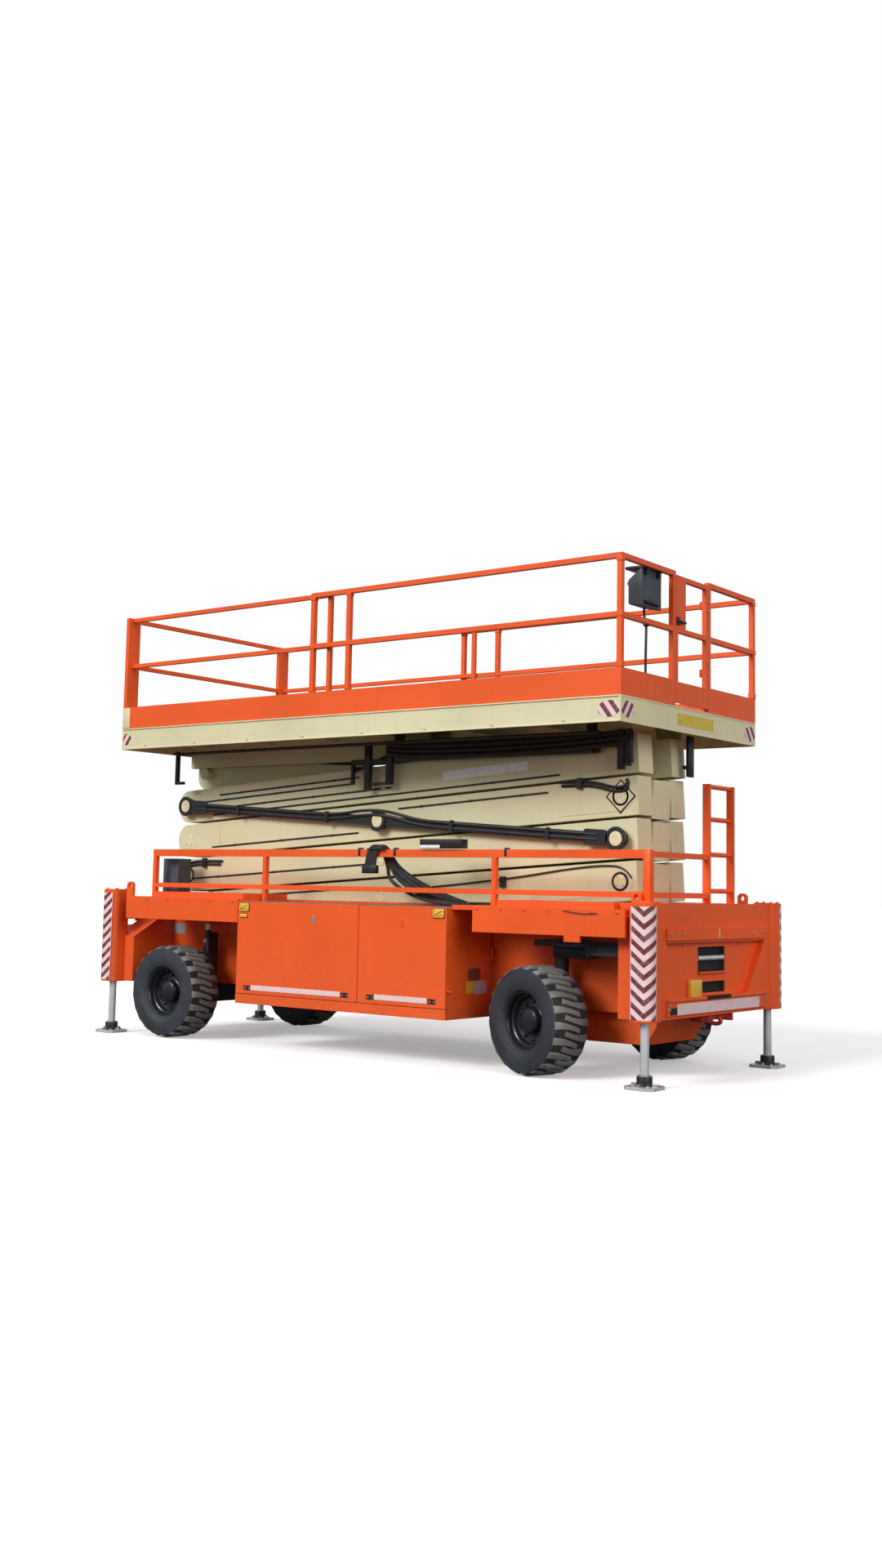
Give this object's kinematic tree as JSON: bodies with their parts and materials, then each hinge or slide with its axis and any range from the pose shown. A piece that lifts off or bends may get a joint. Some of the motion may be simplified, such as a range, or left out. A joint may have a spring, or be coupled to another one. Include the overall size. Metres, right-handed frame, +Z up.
{
  "type": "rough terrain scissor lift",
  "caption": "Rough terrain scissor lift with a railed platform on a folding arm stack, steered wheels and outrigger legs.",
  "frame": {"origin": "on the ground under the middle of the machine", "axes": "+X to the ladder and gate end, +Y to the far side, +Z up"},
  "size_m": [6.4796, 2.4798, 4.24],
  "materials": {
    "orange_paint": "gloss enamel",
    "cream_paint": "satin enamel",
    "black_paint": "satin enamel",
    "chrome": "polished",
    "tyre_rubber": "matte rubber",
    "rim_paint": "gloss enamel",
    "control_plastic": "moulded",
    "engine_iron": "as cast"
  },
  "bodies": {
    "chassis": {"main_frame": "orange_paint", "front_end_beam": "orange_paint", "rear_end_beam": "orange_paint", "deck_near": "orange_paint", "deck_far": "orange_paint", "cabinet_near": "orange_paint", "cabinet_far": "orange_paint", "engine_block": "engine_iron", "deck_rail_near": "orange_paint", "deck_rail_far": "orange_paint", "ladder": "orange_paint", "front_axle": "orange_paint", "king_columns": "black_paint", "rear_axle": "black_paint", "axle_lock_cylinders": "black_paint"},
    "platform": {"platform_deck": "cream_paint", "hose_tray": "black_paint", "platform_rail_near": "orange_paint", "platform_rail_far": "orange_paint", "platform_rail_end": "orange_paint", "control_box": "control_plastic"},
    "inner_arm_1": {"inner_arm_1": "cream_paint"},
    "outer_arm_1": {"outer_arm_1": "cream_paint"},
    "inner_arm_2": {"inner_arm_2": "cream_paint"},
    "outer_arm_2": {"outer_arm_2": "cream_paint"},
    "inner_arm_3": {"inner_arm_3": "cream_paint", "hose_carrier": "black_paint"},
    "outer_arm_3": {"outer_arm_3": "cream_paint"},
    "inner_arm_4": {"inner_arm_4": "cream_paint"},
    "outer_arm_4": {"outer_arm_4": "cream_paint"},
    "lift_barrel_1": {"lift_barrel_1": "black_paint"},
    "lift_rod_1": {"lift_rod_1": "chrome"},
    "lift_barrel_3": {"lift_barrel_3": "black_paint"},
    "lift_rod_3": {"lift_rod_3": "chrome"},
    "door_near_left": {"door_near_left": "orange_paint"},
    "door_near_right": {"door_near_right": "orange_paint"},
    "door_far_left": {"door_far_left": "orange_paint"},
    "door_far_right": {"door_far_right": "orange_paint"},
    "knuckle_near": {"knuckle_near": "black_paint"},
    "wheel_front_near": {"tyre_front_near": "tyre_rubber", "rim_front_near": "rim_paint"},
    "wheel_rear_near": {"tyre_rear_near": "tyre_rubber", "rim_rear_near": "rim_paint"},
    "knuckle_far": {"knuckle_far": "black_paint"},
    "wheel_front_far": {"tyre_front_far": "tyre_rubber", "rim_front_far": "rim_paint"},
    "wheel_rear_far": {"tyre_rear_far": "tyre_rubber", "rim_rear_far": "rim_paint"},
    "tie_rod": {"tie_rod": "black_paint"},
    "leg_front_near": {"leg_front_near": "chrome"},
    "leg_front_far": {"leg_front_far": "chrome"},
    "leg_rear_near": {"leg_rear_near": "chrome"},
    "leg_rear_far": {"leg_rear_far": "chrome"},
    "extension": {"extension": "orange_paint"},
    "gate": {"gate": "orange_paint"}
  },
  "joints": [
    {"name": "fold", "type": "hinge", "parent": "chassis", "child": "inner_arm_1", "pos_m": [2.47383, 0, 1.245], "axis": [0, 1, 0], "range_deg": [0, 58.5]},
    {"name": "outer_fold_1", "type": "hinge", "parent": "inner_arm_1", "child": "outer_arm_1", "pos_m": [-0.15, 0, 1.425], "axis": [0, -1, 0], "range_deg": [0, 117]},
    {"name": "inner_fold_2", "type": "hinge", "parent": "outer_arm_1", "child": "inner_arm_2", "pos_m": [2.47383, 0, 1.605], "axis": [0, 1, 0], "range_deg": [0, 117]},
    {"name": "outer_fold_2", "type": "hinge", "parent": "inner_arm_2", "child": "outer_arm_2", "pos_m": [-0.15, 0, 1.785], "axis": [0, -1, 0], "range_deg": [0, 117]},
    {"name": "inner_fold_3", "type": "hinge", "parent": "outer_arm_2", "child": "inner_arm_3", "pos_m": [2.47383, 0, 1.965], "axis": [0, 1, 0], "range_deg": [0, 117]},
    {"name": "outer_fold_3", "type": "hinge", "parent": "inner_arm_3", "child": "outer_arm_3", "pos_m": [-0.15, 0, 2.145], "axis": [0, -1, 0], "range_deg": [0, 117]},
    {"name": "inner_fold_4", "type": "hinge", "parent": "outer_arm_3", "child": "inner_arm_4", "pos_m": [2.47383, 0, 2.325], "axis": [0, 1, 0], "range_deg": [0, 117]},
    {"name": "outer_fold_4", "type": "hinge", "parent": "inner_arm_4", "child": "outer_arm_4", "pos_m": [-0.15, 0, 2.505], "axis": [0, -1, 0], "range_deg": [0, 117]},
    {"name": "platform_level", "type": "hinge", "parent": "outer_arm_4", "child": "platform", "pos_m": [2.47383, 0, 2.685], "axis": [0, 1, 0], "range_deg": [0, 58.5]},
    {"name": "lift_swing_1", "type": "hinge", "parent": "inner_arm_1", "child": "lift_barrel_1", "pos_m": [-1.84601, 0, 1.54135], "axis": [0, 1, 0], "range_deg": [0, 4.11]},
    {"name": "lift_stroke_1", "type": "slide", "parent": "lift_barrel_1", "child": "lift_rod_1", "axis": [0.9887, 0, -0.1496], "range_m": [0, 0.4926]},
    {"name": "lift_swing_3", "type": "hinge", "parent": "inner_arm_3", "child": "lift_barrel_3", "pos_m": [-1.84601, 0, 2.26135], "axis": [0, 1, 0], "range_deg": [0, 4.11]},
    {"name": "lift_stroke_3", "type": "slide", "parent": "lift_barrel_3", "child": "lift_rod_3", "axis": [0.9887, 0, -0.1496], "range_m": [0, 0.4926]},
    {"name": "door_near_left_drop", "type": "hinge", "parent": "chassis", "child": "door_near_left", "pos_m": [0, -1.2, 0.5], "axis": [1, 0, 0], "range_deg": [0, 95]},
    {"name": "door_near_right_drop", "type": "hinge", "parent": "chassis", "child": "door_near_right", "pos_m": [0, -1.2, 0.5], "axis": [1, 0, 0], "range_deg": [0, 95]},
    {"name": "door_far_left_drop", "type": "hinge", "parent": "chassis", "child": "door_far_left", "pos_m": [0, 1.2, 0.5], "axis": [-1, 0, 0], "range_deg": [0, 95]},
    {"name": "door_far_right_drop", "type": "hinge", "parent": "chassis", "child": "door_far_right", "pos_m": [0, 1.2, 0.5], "axis": [-1, 0, 0], "range_deg": [0, 95]},
    {"name": "steer_near", "type": "hinge", "parent": "chassis", "child": "knuckle_near", "pos_m": [2.08983, -0.7, 0.45], "axis": [0, 0, 1], "range_deg": [-14, 46]},
    {"name": "roll_front_near", "type": "hinge", "parent": "knuckle_near", "child": "wheel_front_near", "pos_m": [2.01817, -0.94993, 0.45], "axis": [0.2756, 0.9613, 0], "continuous": true},
    {"name": "roll_rear_near", "type": "hinge", "parent": "chassis", "child": "wheel_rear_near", "pos_m": [-2.31983, -0.96, 0.45], "axis": [0, 1, 0], "continuous": true},
    {"name": "steer_far", "type": "hinge", "parent": "chassis", "child": "knuckle_far", "pos_m": [2.08983, 0.7, 0.45], "axis": [0, 0, 1], "range_deg": [-14, 46]},
    {"name": "roll_front_far", "type": "hinge", "parent": "knuckle_far", "child": "wheel_front_far", "pos_m": [2.1615, 0.94993, 0.45], "axis": [0.2756, 0.9613, 0], "continuous": true},
    {"name": "roll_rear_far", "type": "hinge", "parent": "chassis", "child": "wheel_rear_far", "pos_m": [-2.31983, 0.96, 0.45], "axis": [0, 1, 0], "continuous": true},
    {"name": "tie_rod_swing", "type": "hinge", "parent": "knuckle_near", "child": "tie_rod", "pos_m": [1.90719, -0.64763, 0.376], "axis": [0, 0, -1], "range_deg": [-14, 46]},
    {"name": "leg_front_near_extend", "type": "slide", "parent": "chassis", "child": "leg_front_near", "axis": [0, 0, -1], "range_m": [-0.4, 0.1]},
    {"name": "leg_front_far_extend", "type": "slide", "parent": "chassis", "child": "leg_front_far", "axis": [0, 0, -1], "range_m": [-0.4, 0.1]},
    {"name": "leg_rear_near_extend", "type": "slide", "parent": "chassis", "child": "leg_rear_near", "axis": [0, 0, -1], "range_m": [-0.4, 0.1]},
    {"name": "leg_rear_far_extend", "type": "slide", "parent": "chassis", "child": "leg_rear_far", "axis": [0, 0, -1], "range_m": [-0.4, 0.1]},
    {"name": "extension_roll_out", "type": "slide", "parent": "platform", "child": "extension", "axis": [-1, 0, 0], "range_m": [0, 1.2]},
    {"name": "gate_swing", "type": "hinge", "parent": "platform", "child": "gate", "pos_m": [2.86983, 0.28, 3.6], "axis": [0, 0, -1], "range_deg": [0, 90]}
  ],
  "couplings": [
    {"joint": "outer_fold_1", "follows": "fold", "ratio": 2},
    {"joint": "inner_fold_2", "follows": "fold", "ratio": 2},
    {"joint": "outer_fold_2", "follows": "fold", "ratio": 2},
    {"joint": "inner_fold_3", "follows": "fold", "ratio": 2},
    {"joint": "outer_fold_3", "follows": "fold", "ratio": 2},
    {"joint": "inner_fold_4", "follows": "fold", "ratio": 2},
    {"joint": "outer_fold_4", "follows": "fold", "ratio": 2},
    {"joint": "platform_level", "follows": "fold", "ratio": 1},
    {"joint": "lift_swing_1", "follows": "fold", "ratio": 0.07},
    {"joint": "lift_stroke_1", "follows": "fold", "m_per_rad": 0.482},
    {"joint": "lift_swing_3", "follows": "fold", "ratio": 0.07},
    {"joint": "lift_stroke_3", "follows": "fold", "m_per_rad": 0.482},
    {"joint": "steer_far", "follows": "steer_near", "ratio": 1},
    {"joint": "tie_rod_swing", "follows": "steer_near", "ratio": 1}
  ]
}
